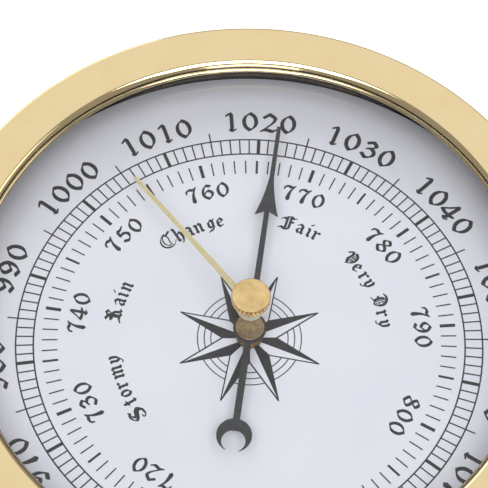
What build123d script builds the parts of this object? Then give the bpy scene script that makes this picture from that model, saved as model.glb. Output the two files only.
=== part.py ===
from build123d import *
from math import atan2, cos, degrees, hypot, pi, sin
import os

# Aneroid barometer in a round brass bezel, lying on its back.
# Frame: millimetres, +Z towards the reader, +Y towards 12 o'clock.
# The origin is the centre of the flat back.

# ---- overall sizes -------------------------------------------------------
bezel_radius = 66.0
bezel_face_z = 45.0
bezel_face_depth = 17.6        # bezel face down to the printed dial
dial_z = bezel_face_z - bezel_face_depth

# ---- bezel: a spun brass ring --------------------------------------------
bezel_wall = 0.8
bezel_skirt = 21.0             # height of the outer wall
bezel_fall = 0.35              # the face slopes in towards the glass
bezel_opening = 56.6           # radius of the inner wall
bezel_lip_round = 1.7
bezel_edge_round = 0.6
bezel_bead = 0.3               # rounded hem at the foot of the inner wall
bezel_foot = 14.5              # hem above the dial
push_fit = 0.1

# ---- case pan ------------------------------------------------------------
pan_wall = 0.5
pan_floor = 0.8
pan_corner = 3.0
pan_radius = bezel_radius - bezel_wall - push_fit

# ---- crystal -------------------------------------------------------------
glass_thickness = 2.0
glass_rise = 2.3               # the middle stands above the flat rim
gasket_thickness = 0.8
glass_top_rim = dial_z + bezel_foot
glass_top = glass_top_rim + glass_rise
glass_under = glass_top - glass_thickness
pan_rim_z = glass_top_rim - glass_thickness - gasket_thickness

# ---- dial ----------------------------------------------------------------
dial_thickness = 0.8
dial_gap = 0.2
dial_radius = pan_radius - pan_wall - dial_gap
dial_hole = 1.7

# ---- setting hand and its knob -------------------------------------------
knob_radius = 3.95
knob_height = 2.0
knob_teeth = 28
knob_tooth_depth = 0.4
knob_rise = 0.12               # the top is turned to a flat cone
stem_radius = 1.5
stem_clearance = 0.08
washer_thickness = 0.2
washer_gap = 0.05
set_hand_angle = 34.75         # degrees left of 12 o'clock
set_hand_reach = 43.0
set_hand_tip_height = 5.7      # tip above the dial
set_hand_thickness = 0.3
set_hand_root_width = 1.3
set_hand_tip_width = 0.75
nut_radius = 2.7
set_hand_boss = nut_radius + 0.3
nut_height = 1.4

# ---- pressure hand -------------------------------------------------------
hand_angle = -7.5              # degrees left of 12 o'clock, so 1022 hPa
hand_height = 4.75             # middle of the hand above the dial
hand_thickness = 0.4
hand_reach = 49.2
hand_root_width = 1.4          # at the hub; the arm tapers from there
hand_arm_width = 1.0           # at the point of the arrowhead
hand_tip_width = 0.84
hand_hub = 3.45
arrow_tip = 36.3               # where the arrowhead's point starts
arrow_base = 26.9
arrow_notch = 28.3
arrow_width = 4.9
arrow_hollow = 0.55            # how far each flank curves in
arrow_barb = 0.62              # how far each half of the base curves in
tail_arm_width = 1.45
crescent_centre = 24.4
crescent_radius = 3.6
crescent_hollow = 2.44
crescent_shift = 1.3
cap_radius = 3.07
cap_height = 0.3
bush_radius = 2.4
bush_gap = 0.5
bush_foot = 0.6                # a wider foot ring on the bush
arbor_radius = 0.5
running_fit = 0.05

# ---- movement ------------------------------------------------------------
plate_z = 4.0
plate_thickness = 1.5
plate_top = plate_z + plate_thickness
plate_left = -46.0
plate_right = 41.0
plate_half_width = 30.0
plate_corner = 6.0
case_post_places = [(38, 14), (38, -14), (-43, 17), (-43, -17)]
case_post_radius = 3.0
case_screw_radius = 1.5
case_screw_head = 2.7
dial_post_places = [(36, 25), (36, -25), (-34, 25), (-34, -25)]
dial_post_radius = 2.5
dial_screw_radius = 1.2
dial_screw_head = 2.2
screw_head_height = 0.8
screw_slot = 0.5
bore_gap = 0.1                 # screws pass through holes this much wider

# aneroid capsule
capsule_x = -6.0
capsule_radius = 21.0
capsule_sheet = 0.35
capsule_half_height = 2.0
capsule_wave = 0.32
capsule_waves = 3
capsule_boss = 4.0
capsule_stud_height = 1.6
capsule_stud_radius = 3.0
capsule_thread = 1.5
capsule_middle = plate_top + capsule_stud_height + capsule_half_height + capsule_sheet / 2
top_stud_radius = 1.4

# main spring and lever
spring_width = 16.0
spring_sheet = 1.0
spring_x = -38.0               # centre of the bend
spring_top = 14.6
spring_leg = 9.0
spring_tongue = 6.0            # past the capsule's centre
spring_radius = (spring_top - plate_top) / 2
lever_sheet = 1.0
lever_width = 5.0
lever_plate_half_width = 7.0   # where the lever is riveted to the spring
lever_plate_start = -33.0
lever_plate_end = -26.0        # from here it narrows
lever_neck = -14.0             # and from here it is the plain strip
lever_rivet_places = [(-30, 4.6), (-30, -4.6), (-20, 0)]
spring_screw_places = [(spring_x + 3, 5), (spring_x + 3, -5)]
lever_top = spring_top + lever_sheet
stud_clearance = 0.5
knife_radius = 0.5
knife_length = 6.0
knife_z = lever_top + knife_radius

# gear train
tooth_module = 0.3
pinion_teeth = 12
sector_teeth = 120             # on the full circle
sector_teeth_cut = 15
tooth_share = 0.42             # of the pitch, the rest is backlash
pinion_pitch = tooth_module * pinion_teeth / 2
sector_pitch = tooth_module * sector_teeth / 2
sector_x = pinion_pitch + sector_pitch
sector_z = 20.9
sector_sheet = 0.8
sector_hub = 2.4
pinion_z = 20.6
pinion_height = 1.5
staff_radius = 0.8

# rocking shaft between the lever and the sector
rocker_reach = 12.5            # sector's tail, and the rocker's arm
rocker_z = sector_z + sector_sheet / 2 - rocker_reach
rocker_radius = 1.0
journal_radius = 0.6
rocker_ends = (-24.0, -8.0)
crank_y = -19.0
crank_reach = 4.0
crank_sheet = 0.8
arm_pin = 0.5
fork_clearance = 0.3
ear_thickness = 1.0
bracket_screw_places = [(sector_x + 6, -11.0), (sector_x - 6, -11.0)]
link_x = sector_x + crank_reach
link_radius = 0.4
link_clearance = 0.35
link_head = 1.2
link_head_height = 0.6
link_slack = 0.25

# bridges
lower_bridge_z = 18.6
upper_bridge_z = 23.8
bridge_sheet = 1.2
bridge_places = [(31, 8), (-18, 24), (-18, -24)]
bridge_margin = 4.0
bridge_window = 6.0            # two round windows lighten each bridge
bridge_window_places = [(-11, 10), (-11, -10)]
pillar_radius = 2.5
bridge_screw = 1.0
bearing_radius = 1.6
bearing_collar = 0.4

# hairspring
hairspring_z = 22.5
hairspring_height = 0.5
hairspring_sheet = 0.15
hairspring_turns = 3.5
collet_radius = 1.0
hairspring_outer = 6.5

# back details
adjuster_x = -31.0
adjuster_radius = 2.0
adjuster_head = 2.8
adjuster_foot = 1.2            # underside of the head
adjuster_shoulder = 3.0        # top of the head
adjuster_slot = 0.8
adjuster_hole = 3.4
keyhole_y = 46.0
keyhole_entry = 4.5
keyhole_slot = 2.3
keyhole_rise = 8.0
hanger_length = 30.0
hanger_width = 20.0
rivet_radius = 1.2
rivet_offset = 11.5
vent_count = 6
vent_radius = 1.5
vent_circle = 52.0

UP = (Align.CENTER, Align.CENTER, Align.MIN)


# ---- helpers -------------------------------------------------------------
def disc(radius, bottom, top, x=0, y=0):
    """Upright cylinder from bottom to top."""
    return Pos(x, y, bottom) * Cylinder(radius, top - bottom, align=UP)


def tube(outer, inner, bottom, top, x=0, y=0):
    return disc(outer, bottom, top, x, y) - disc(inner, bottom, top, x, y)


def block(x0, x1, y0, y1, z0, z1):
    return Pos((x0 + x1) / 2, (y0 + y1) / 2, z0) * Box(x1 - x0, y1 - y0, z1 - z0, align=UP)


def plate(face, bottom, thickness):
    """A flat outline in XY, raised to bottom and thickened upwards."""
    return extrude(Pos(0, 0, bottom) * face, thickness, dir=(0, 0, 1))


def outline(*edges):
    return make_face(Wire(edges))


def polygon(points):
    return make_face(Polyline(*points, close=True))


def turned(edges):
    """Spin a profile given in (radius, height) about the dial's axis."""
    return revolve(Plane.XZ * outline(*edges), Axis.Z)


def side_plate(face, y0, y1):
    """A face drawn in (x, z), thickened from y0 to y1."""
    return extrude(Pos(0, y0, 0) * (Plane.XZ * face), y1 - y0, dir=(0, 1, 0))


def group(pieces):
    return Compound(children=list(pieces))


def clock(face, angle):
    """Turn a drawing made along +Y to its place on the dial."""
    return Rot(0, 0, angle) * face


def save(shape, name):
    export_step(shape, f"parts/{name}.step")


# ---- case ----------------------------------------------------------------
def make_pan():
    outer = disc(pan_radius, 0, pan_rim_z)
    outer = fillet(outer.edges().group_by(Axis.Z)[0], pan_corner)
    inner = disc(pan_radius - pan_wall, pan_floor, pan_rim_z + 1)
    inner = fillet(inner.edges().group_by(Axis.Z)[0], pan_corner - pan_wall)
    pan = outer - inner - keyhole_cut(0, pan_floor)
    pan -= disc(adjuster_hole, -1, pan_floor + 1, adjuster_x)
    for x, y in case_post_places:
        pan -= screw_sink(x, y)
    for side in (-1, 1):
        pan -= disc(rivet_radius, -1, pan_floor + 1, side * rivet_offset, keyhole_y)
    for i in range(vent_count):
        turn = 2 * pi * (i + 0.5) / vent_count
        pan -= disc(vent_radius, -1, pan_floor + 1, vent_circle * cos(turn), vent_circle * sin(turn))
    return pan


def screw_sink(x, y):
    """Countersunk hole for a case screw."""
    cone = Pos(x, y, 0) * Cone(case_screw_head, case_screw_radius + bore_gap, pan_floor, align=UP)
    return cone + disc(case_screw_radius + bore_gap, 0, pan_floor + 1, x, y)


def keyhole_cut(bottom, top):
    entry = disc(keyhole_entry, bottom - 1, top + 1, 0, keyhole_y)
    end = disc(keyhole_slot, bottom - 1, top + 1, 0, keyhole_y + keyhole_rise)
    run = block(-keyhole_slot, keyhole_slot, keyhole_y, keyhole_y + keyhole_rise, bottom - 1, top + 1)
    return entry + end + run


def make_hanger():
    low = keyhole_y - hanger_width / 2 + 2
    body = block(-hanger_length / 2, hanger_length / 2, low, low + hanger_width, pan_floor, 2 * pan_floor)
    body = fillet(body.edges().filter_by(Axis.Z), 3)
    body -= keyhole_cut(pan_floor, 2 * pan_floor)
    for side in (-1, 1):
        body -= disc(rivet_radius, 0, 3, side * rivet_offset, keyhole_y)
    return body


def make_rivets():
    rivets = []
    for side in (-1, 1):
        shank = disc(rivet_radius, 0, 2 * pan_floor, side * rivet_offset, keyhole_y)
        head = disc(1.8 * rivet_radius, 2 * pan_floor, 2 * pan_floor + 0.6, side * rivet_offset, keyhole_y)
        rivets.append(shank + head)
    return group(rivets)


def make_bezel():
    r, top, wall = bezel_radius, bezel_face_z, bezel_wall
    inner, edge, lip = bezel_opening, bezel_edge_round, bezel_lip_round
    face_in = top - bezel_fall
    foot = glass_top_rim
    bead = bezel_bead
    edges = [
        Line((r, top - bezel_skirt), (r, top - edge)),
        ThreePointArc(
            (r, top - edge),
            (r - edge * (1 - cos(pi / 4)), top - edge * (1 - sin(pi / 4))),
            (r - edge, top),
        ),
        Line((r - edge, top), (inner + lip, face_in)),
        ThreePointArc(
            (inner + lip, face_in),
            (inner + lip * (1 - cos(pi / 4)), face_in - lip * (1 - sin(pi / 4))),
            (inner, face_in - lip),
        ),
        Line((inner, face_in - lip), (inner, foot + 3 * bead)),
        ThreePointArc((inner, foot + 3 * bead), (inner - bead, foot + 1.5 * bead), (inner, foot)),
        Line((inner, foot), (inner + wall, foot)),
        Line((inner + wall, foot), (inner + wall, face_in - lip)),
        Line((inner + wall, face_in - lip), (inner + wall + lip, face_in - wall)),
        Line((inner + wall + lip, face_in - wall), (r - wall, top - wall)),
        Line((r - wall, top - wall), (r - wall, top - bezel_skirt)),
        Line((r - wall, top - bezel_skirt), (r, top - bezel_skirt)),
    ]
    return turned(edges)


def make_crystal():
    rim = bezel_opening
    edge = pan_radius - push_fit
    hole = stem_radius + stem_clearance
    ball = (rim**2 + glass_rise**2) / (2 * glass_rise)
    upper = [(x, glass_top - (ball - (ball**2 - x**2) ** 0.5)) for x in (hole, rim / 2, rim)]
    lower = [(x, z - glass_thickness) for x, z in upper]
    edges = [
        ThreePointArc(*upper),
        Line(upper[2], (edge, upper[2][1])),
        Line((edge, upper[2][1]), (edge, lower[2][1])),
        Line((edge, lower[2][1]), lower[2]),
        ThreePointArc(*reversed(lower)),
        Line(lower[0], upper[0]),
    ]
    return turned(edges)


def make_gasket():
    return tube(pan_radius, pan_radius - pan_wall - dial_gap, pan_rim_z, pan_rim_z + gasket_thickness)


# ---- dial and its posts --------------------------------------------------
def make_dial():
    return tube(dial_radius, dial_hole, dial_z - dial_thickness, dial_z)


def make_dial_posts():
    posts = []
    for x, y in dial_post_places:
        post = disc(dial_post_radius, plate_top, dial_z - dial_thickness, x, y)
        posts.append(post - disc(dial_screw_radius, plate_top - 1, plate_top + 5, x, y))
    return group(posts)


def slotted_screw(radius, head_radius, head_bottom, direction, length, x, y):
    """Cheese-head screw; direction is +1 with the head on top, -1 with it below."""
    head_top = head_bottom + screw_head_height
    head = disc(head_radius, head_bottom, head_top, x, y)
    if direction > 0:
        slot = block(x - head_radius, x + head_radius, y - screw_slot / 2, y + screw_slot / 2,
                     head_top - screw_head_height / 2, head_top + 1)
        return head - slot + disc(radius, head_bottom - length, head_bottom, x, y)
    slot = block(x - head_radius, x + head_radius, y - screw_slot / 2, y + screw_slot / 2,
                 head_bottom - 1, head_bottom + screw_head_height / 2)
    return head - slot + disc(radius, head_top, head_top + length, x, y)


def make_dial_screws():
    bottom = plate_z - screw_head_height
    length = plate_thickness + 4
    return group(
        slotted_screw(dial_screw_radius - bore_gap / 2, dial_screw_head, bottom, -1, length, x, y)
        for x, y in dial_post_places
    )


# ---- movement plate ------------------------------------------------------
def make_base_plate():
    base = block(plate_left, plate_right, -plate_half_width, plate_half_width, plate_z, plate_top)
    base = fillet(base.edges().filter_by(Axis.Z), plate_corner)
    holes = [(x, y, case_screw_radius) for x, y in case_post_places]
    holes += [(x, y, dial_screw_radius + bore_gap) for x, y in dial_post_places]
    holes += [(x, y, bridge_screw + bore_gap) for x, y in bridge_places]
    holes += [(x, y, dial_screw_radius) for x, y in spring_screw_places + bracket_screw_places]
    holes += [(capsule_x, 0, capsule_thread), (adjuster_x, 0, adjuster_radius + running_fit)]
    for x, y, radius in holes:
        base -= disc(radius, plate_z - 1, plate_top + 1, x, y)
    return base


def make_case_posts():
    return group(
        tube(case_post_radius, case_screw_radius + bore_gap, pan_floor, plate_z, x, y)
        for x, y in case_post_places
    )


def make_case_screws():
    screws = []
    for x, y in case_post_places:
        head = Pos(x, y, 0) * Cone(case_screw_head - bore_gap, case_screw_radius, pan_floor, align=UP)
        slot = block(x - 3, x + 3, y - screw_slot / 2, y + screw_slot / 2, -1, pan_floor / 2)
        screws.append(head + disc(case_screw_radius, pan_floor, plate_top - 0.3, x, y) - slot)
    return group(screws)


# ---- aneroid capsule -----------------------------------------------------
def capsule_height(radius):
    """Height of the corrugated sheet over the seam, at a radius."""
    wall_start = capsule_radius - 2.5
    if radius <= capsule_boss:
        return capsule_half_height
    if radius <= wall_start:
        turn = (radius - capsule_boss) / (wall_start - capsule_boss)
        return capsule_half_height - capsule_wave / 2 * (1 - cos(2 * pi * capsule_waves * turn))
    return capsule_half_height


def capsule_half(side):
    """One pressed diaphragm; side is +1 above the seam and -1 below it."""
    half = capsule_sheet / 2
    seam = capsule_middle + side * half
    wave_end = capsule_radius - 2.5
    steps = 8 * capsule_waves
    radii = [capsule_boss + (wave_end - capsule_boss) * i / steps for i in range(steps + 1)]
    over = [(r, seam + side * (capsule_height(r) + half)) for r in radii]
    under = [(r, z - side * capsule_sheet) for r, z in over]
    shoulder = capsule_radius - 1.5
    low_in = (shoulder - capsule_sheet, seam - side * half)
    edges = [
        Line((0, over[0][1]), over[0]),
        Spline(*over),
        Line(over[-1], (shoulder, seam + side * half)),
        Line((shoulder, seam + side * half), (capsule_radius, seam + side * half)),
        Line((capsule_radius, seam + side * half), (capsule_radius, seam - side * half)),
        Line((capsule_radius, seam - side * half), low_in),
        Line(low_in, under[-1]),
        Spline(*reversed(under)),
        Line(under[0], (0, under[0][1])),
        Line((0, under[0][1]), (0, over[0][1])),
    ]
    return Pos(capsule_x, 0, 0) * turned(edges)


def capsule_end(side):
    """Outer height of a diaphragm's flat centre."""
    return capsule_middle + side * (capsule_half_height + capsule_sheet)


def make_capsule_base_stud():
    flange = disc(capsule_stud_radius, plate_top, capsule_end(-1), capsule_x)
    return flange + disc(capsule_thread - bore_gap / 2, plate_z - 1.8, plate_top, capsule_x)


def make_capsule_nut():
    nut = extrude(Pos(capsule_x, 0, plate_z - 1.5) * RegularPolygon(3.2, 6), 1.5, dir=(0, 0, 1))
    return nut - disc(capsule_thread, plate_z - 3, plate_z, capsule_x)


def make_top_stud():
    foot = disc(capsule_stud_radius, capsule_end(1), capsule_end(1) + 0.6, capsule_x)
    post = disc(top_stud_radius, capsule_end(1) + 0.6, knife_z + knife_radius + 0.9, capsule_x)
    hole = Pos(capsule_x, 0, knife_z) * Rot(90, 0, 0) * Cylinder(knife_radius + 0.25, 4 * top_stud_radius)
    return foot + post - hole


# ---- main spring and lever -----------------------------------------------
def make_main_spring():
    outer, inner = spring_radius, spring_radius - spring_sheet
    mid = plate_top + spring_radius
    foot = plate_top
    leg_end = spring_x + spring_leg
    tongue = capsule_x + spring_tongue
    profile = outline(
        Line((leg_end, foot), (spring_x, foot)),
        ThreePointArc((spring_x, foot), (spring_x - outer, mid), (spring_x, spring_top)),
        Line((spring_x, spring_top), (tongue, spring_top)),
        Line((tongue, spring_top), (tongue, spring_top - spring_sheet)),
        Line((tongue, spring_top - spring_sheet), (spring_x, spring_top - spring_sheet)),
        ThreePointArc(
            (spring_x, spring_top - spring_sheet),
            (spring_x - inner, mid),
            (spring_x, foot + spring_sheet),
        ),
        Line((spring_x, foot + spring_sheet), (leg_end, foot + spring_sheet)),
        Line((leg_end, foot + spring_sheet), (leg_end, foot)),
    )
    spring = side_plate(profile, -spring_width / 2, spring_width / 2)
    spring -= disc(top_stud_radius + stud_clearance, spring_top - 2, spring_top + 1, capsule_x)
    for x, y in spring_screw_places:
        spring -= disc(dial_screw_radius + bore_gap, foot - 1, foot + spring_sheet + 1, x, y)
    for x, y in lever_rivet_places:
        spring -= disc(rivet_radius, spring_top - 2, spring_top + 1, x, y)
    return spring


def make_spring_screws():
    return group(
        slotted_screw(dial_screw_radius - bore_gap / 2, dial_screw_head - 0.2, plate_top + spring_sheet, 1,
                      spring_sheet + plate_thickness, x, y)
        for x, y in spring_screw_places
    )


def make_lever():
    half = lever_width / 2
    start, neck = lever_plate_start, lever_neck
    wide, taper = lever_plate_half_width, lever_plate_end
    bend = capsule_x + 6
    turn = sector_x - 6
    end_x, end_y = link_x, crank_y
    shape = polygon([
        (start, -wide), (taper, -wide), (neck, -half), (bend - 1, -half), (turn - 2, end_y - half),
        (end_x + half, end_y - half), (end_x + half, end_y + half), (turn + 1, end_y + half),
        (bend + 3, half), (neck, half), (taper, wide), (start, wide),
    ])
    lever = plate(shape, spring_top, lever_sheet)
    lever -= disc(top_stud_radius + stud_clearance, spring_top - 1, lever_top + 1, capsule_x)
    lever -= disc(link_radius + link_clearance, spring_top - 1, lever_top + 1, link_x, crank_y)
    for x, y in lever_rivet_places:
        lever -= disc(rivet_radius, spring_top - 1, lever_top + 1, x, y)
    return lever


def make_lever_rivets():
    low, high = spring_top - spring_sheet, lever_top
    return group(
        disc(rivet_radius, low, high, x, y) + disc(1.6 * rivet_radius, high, high + 0.5, x, y)
        + disc(1.6 * rivet_radius, low - 0.4, low, x, y)
        for x, y in lever_rivet_places
    )


def make_knife_pin():
    return Pos(capsule_x, 0, knife_z) * Rot(90, 0, 0) * Cylinder(knife_radius, knife_length)


# ---- link and rocking shaft ----------------------------------------------


def make_link_rod():
    low = rocker_z - crank_sheet / 2 - link_slack
    high = lever_top + link_slack
    rod = disc(link_radius, low, high, link_x, crank_y)
    rod += disc(link_head, low - link_head_height, low, link_x, crank_y)
    return rod + disc(link_head, high, high + link_head_height, link_x, crank_y)


def shaft_along_y(radius, y0, y1):
    return Pos(sector_x, (y0 + y1) / 2, rocker_z) * Rot(90, 0, 0) * Cylinder(radius, y1 - y0)


def make_rocking_shaft():
    low, high = rocker_ends
    body = shaft_along_y(rocker_radius, low + ear_thickness + 0.3, high - ear_thickness - 0.3)
    return body + shaft_along_y(journal_radius, low - 0.3, high + 0.3)


def make_rocker_arm():
    """Flat arm on a collar, ending in the pin that works the sector's fork."""
    y0, y1 = -rocker_reach - 0.5, -rocker_reach + 0.5
    collar = shaft_along_y(rocker_radius + 1.2, y0 - 0.6, y1 + 0.6)
    shoulder = lower_bridge_z - 0.6
    strip = side_plate(
        polygon([(sector_x - 1.6, rocker_z), (sector_x - 0.9, shoulder),
                 (sector_x + 0.9, shoulder), (sector_x + 1.6, rocker_z)]), y0, y1)
    pin = disc(arm_pin, shoulder - 1, sector_z + sector_sheet + 0.9, sector_x, -rocker_reach)
    return collar + strip + pin - shaft_along_y(rocker_radius, y0 - 1, y1 + 1)


def make_rocker_crank():
    y0, y1 = crank_y - 1.6, crank_y + 1.6
    collar = shaft_along_y(rocker_radius + 1.2, y0, y1)
    tongue = block(sector_x, link_x + 1.6, y0, y1, rocker_z - crank_sheet / 2, rocker_z + crank_sheet / 2)
    crank = collar + fillet(tongue.edges().filter_by(Axis.Z).group_by(Axis.X)[-1], 1.2)
    crank -= shaft_along_y(rocker_radius, y0 - 1, y1 + 1)
    return crank - disc(link_radius + link_clearance, rocker_z - 2, rocker_z + 2, link_x, crank_y)


def make_bracket():
    """Bent sheet with an ear at each end of the rocking shaft."""
    low, high = rocker_ends
    sheet = 0.7
    half = 3.0
    floor = block(sector_x - half, sector_x + half, low, high, plate_top, plate_top + sheet)
    feet = block(sector_x - 8.5, sector_x + 8.5, -13.5, -8, plate_top, plate_top + sheet)
    bracket = floor + feet
    for y in (low, high - ear_thickness):
        ear = block(sector_x - half, sector_x + half, y, y + ear_thickness, plate_top, rocker_z + 2)
        bracket += ear
    bracket -= shaft_along_y(journal_radius + running_fit, low - 1, high + 1)
    for x, y in bracket_screw_places:
        bracket -= disc(dial_screw_radius + bore_gap, plate_top - 1, plate_top + 2, x, y)
    return bracket


def make_bracket_screws():
    return group(
        slotted_screw(dial_screw_radius - bore_gap / 2, dial_screw_head - 0.2, plate_top + 0.7, 1,
                      0.7 + plate_thickness, x, y)
        for x, y in bracket_screw_places
    )


# ---- gears ---------------------------------------------------------------
def tooth_points(pitch_radius, angle, outward=0.8, inward=1.2):
    """Straight-flanked tooth: root, pitch and tip half widths narrow outwards."""
    thick = pi * tooth_module * tooth_share / 2
    rows = [
        (pitch_radius - inward * tooth_module, thick * 1.25),
        (pitch_radius, thick),
        (pitch_radius + outward * tooth_module, thick * 0.55),
    ]
    left = [(r, w / r) for r, w in rows]
    points = [(r * cos(angle + a), r * sin(angle + a)) for r, a in left]
    points += [(r * cos(angle - a), r * sin(angle - a)) for r, a in reversed(left)]
    return points


def make_pinion():
    body = Circle(pinion_pitch - 1.1 * tooth_module)
    for i in range(pinion_teeth):
        angle = 2 * pi * (i + 0.5) / pinion_teeth
        body += polygon(tooth_points(pinion_pitch, angle))
    return plate(body, pinion_z, pinion_height) - disc(arbor_radius, 0, dial_z)


def ring_sector(outer, inner, half_angle):
    """Part of a flat ring, centred on the -X side of its own centre."""
    side = outer * 2
    wedge = polygon([(0, 0), (-side * cos(half_angle), side * sin(half_angle)),
                     (-side * cos(half_angle), -side * sin(half_angle))])
    return (Circle(outer) - Circle(inner)) & wedge


def make_sector():
    root = sector_pitch - 1.1 * tooth_module
    pitch_turn = 2 * pi / sector_teeth
    half = pitch_turn * (sector_teeth_cut / 2 + 0.3)
    rim = 2.0
    body = ring_sector(root, root - rim, half)
    for i in range(sector_teeth_cut):
        angle = pi + (i - (sector_teeth_cut - 1) / 2) * pitch_turn
        body += polygon(tooth_points(sector_pitch, angle))
    for side in (-1, 1):
        reach = root - rim / 2
        turn = side * (half - 0.06)
        along = (-cos(turn), sin(turn))
        across = (sin(turn), cos(turn))
        body += polygon([
            (s * across[0] * w + d * along[0], s * across[1] * w + d * along[1])
            for d, w, s in ((0, 1.4, 1), (reach, 0.8, 1), (reach, 0.8, -1), (0, 1.4, -1))
        ])
    tail = 2.0
    body += Circle(sector_hub)
    body += Pos(0, -(rocker_reach + 2) / 2) * Rectangle(2 * tail, rocker_reach + 2)
    slot = arm_pin + fork_clearance
    body -= Pos(0, -rocker_reach - 1) * Rectangle(2 * slot, 6)
    body -= Pos(0, -rocker_reach + 2) * Circle(slot)
    return plate(Pos(sector_x, 0) * body, sector_z, sector_sheet) - disc(staff_radius, 0, dial_z, sector_x)


def stepped_pin(radius, pivot, low, high, x):
    """Staff with a thin pivot at each end, which the two bridges carry."""
    body = disc(radius, low, high, x)
    reach = bridge_sheet + 0.2
    return body + disc(pivot, low - reach, low, x) + disc(pivot, high, high + reach, x)


def make_staff():
    low = lower_bridge_z + bridge_sheet + bearing_collar + 0.1
    high = upper_bridge_z - bearing_collar - 0.1
    return stepped_pin(staff_radius, arbor_radius, low, high, sector_x)


# ---- bridges -------------------------------------------------------------
def bridge_outline():
    """Triangle round the three pillars, with a round lobe at each."""
    shape = polygon(bridge_places)
    for i, (x, y) in enumerate(bridge_places):
        nx, ny = bridge_places[(i + 1) % 3]
        run = hypot(nx - x, ny - y)
        turn = degrees(atan2(ny - y, nx - x))
        shape += Pos((x + nx) / 2, (y + ny) / 2) * Rot(0, 0, turn) * Rectangle(run, 2 * bridge_margin)
        shape += Pos(x, y) * Circle(bridge_margin)
    return shape


def make_bridge(bottom):
    bridge = plate(bridge_outline(), bottom, bridge_sheet)
    for x, y in bridge_places:
        bridge -= disc(bridge_screw + bore_gap, bottom - 1, bottom + 3, x, y)
    for x in (0, sector_x):
        bridge -= disc(bearing_radius, bottom - 1, bottom + 3, x)
    for x, y in bridge_window_places:
        bridge -= disc(bridge_window, bottom - 1, bottom + 3, x, y)
    return bridge


def make_bushes(x):
    """Bearing bush in each bridge; its collar faces the gears."""
    hole = arbor_radius + running_fit
    top = lower_bridge_z + bridge_sheet
    lower = tube(bearing_radius, hole, lower_bridge_z, top, x)
    lower += tube(bearing_radius + 0.5, hole, top, top + bearing_collar, x)
    upper = tube(bearing_radius, hole, upper_bridge_z, upper_bridge_z + bridge_sheet, x)
    upper += tube(bearing_radius + 0.5, hole, upper_bridge_z - bearing_collar, upper_bridge_z, x)
    return group([lower, upper])


def make_pillars(bottom, top):
    return group(tube(pillar_radius, bridge_screw, bottom, top, x, y) for x, y in bridge_places)


def make_bridge_screws():
    head = upper_bridge_z + bridge_sheet
    return group(
        slotted_screw(bridge_screw - bore_gap / 2, 2.0, head, 1, head - lower_bridge_z + 6, x, y)
        for x, y in bridge_places
    )


def make_pillar_screws():
    bottom = plate_z - screw_head_height
    return group(
        slotted_screw(bridge_screw - bore_gap / 2, 2.0, bottom, -1, plate_thickness + 4, x, y)
        for x, y in bridge_places
    )


# ---- hairspring ----------------------------------------------------------
def make_hairspring():
    steps = 12
    start = collet_radius + running_fit + hairspring_sheet / 2
    count = int(hairspring_turns * steps)

    def point(i, side):
        turn = 2 * pi * i / steps
        radius = start + (hairspring_outer - start) * i / count + side * hairspring_sheet / 2
        return (radius * cos(turn), radius * sin(turn))

    outer = [point(i, 1) for i in range(count + 1)]
    inner = [point(i, -1) for i in range(count, -1, -1)]
    strip = outline(Spline(*outer), Line(outer[-1], inner[0]), Spline(*inner), Line(inner[-1], outer[0]))
    return plate(strip, hairspring_z, hairspring_height)


def make_hairspring_stud():
    """Pin hanging from the upper bridge, split to hold the spring's outer end."""
    end = -hairspring_outer
    pin = disc(0.7, hairspring_z - 0.2, upper_bridge_z, end, -0.55)
    return pin - block(end - 0.12, end + 0.12, -2, 2, hairspring_z - 1, hairspring_z + 0.7)


# ---- pressure hand -------------------------------------------------------
hand_bottom = dial_z + hand_height - hand_thickness / 2
hand_top = hand_bottom + hand_thickness


def make_arbor():
    low = lower_bridge_z - 0.2
    return disc(arbor_radius, low, hand_top)


def make_collet():
    return tube(collet_radius, arbor_radius, hairspring_z - 0.2, hairspring_z + hairspring_height + 0.2)


def make_hand_bush():
    low = dial_z + bush_gap
    drum = tube(bush_radius, arbor_radius, low, hand_bottom)
    return drum + tube(bush_radius + 0.35, bush_radius, low, low + bush_foot)


def make_pressure_hand():
    root, half, tip = hand_root_width / 2, hand_arm_width / 2, hand_tip_width / 2
    wide = arrow_width / 2
    middle = ((wide + half) / 2 - arrow_hollow / 2, (arrow_base + arrow_tip) / 2)
    flank = [(wide, arrow_base), middle, (half, arrow_tip)]
    arrow = outline(
        ThreePointArc(*flank),
        Line((half, arrow_tip), (-half, arrow_tip)),
        ThreePointArc(*[(-x, y) for x, y in reversed(flank)]),
        ThreePointArc((-wide, arrow_base), (-wide / 2, arrow_base + arrow_barb), (0, arrow_notch)),
        ThreePointArc((0, arrow_notch), (wide / 2, arrow_base + arrow_barb), (wide, arrow_base)),
    )
    front = polygon([(-root, 0), (-half, arrow_tip), (-tip, hand_reach), (tip, hand_reach),
                     (half, arrow_tip), (root, 0)])
    back = Pos(0, -crescent_centre / 2) * Rectangle(tail_arm_width, crescent_centre - 2)
    moon = Pos(0, -crescent_centre) * Circle(crescent_radius)
    moon -= Pos(0, -crescent_centre - crescent_shift) * Circle(crescent_hollow)
    shape = front + arrow + back + moon + Circle(hand_hub) - Circle(arbor_radius)
    return plate(clock(shape, hand_angle), hand_bottom, hand_thickness)


def make_hand_cap():
    cap = disc(cap_radius, hand_top, hand_top + cap_height)
    return fillet(cap.edges().group_by(Axis.Z)[-1], cap_height * 0.6)


# ---- setting hand --------------------------------------------------------
knob_bottom = glass_top + washer_gap + washer_thickness
knob_top = knob_bottom + knob_height
boss_top = glass_under - washer_gap - washer_thickness
boss_bottom = boss_top - set_hand_thickness


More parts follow.
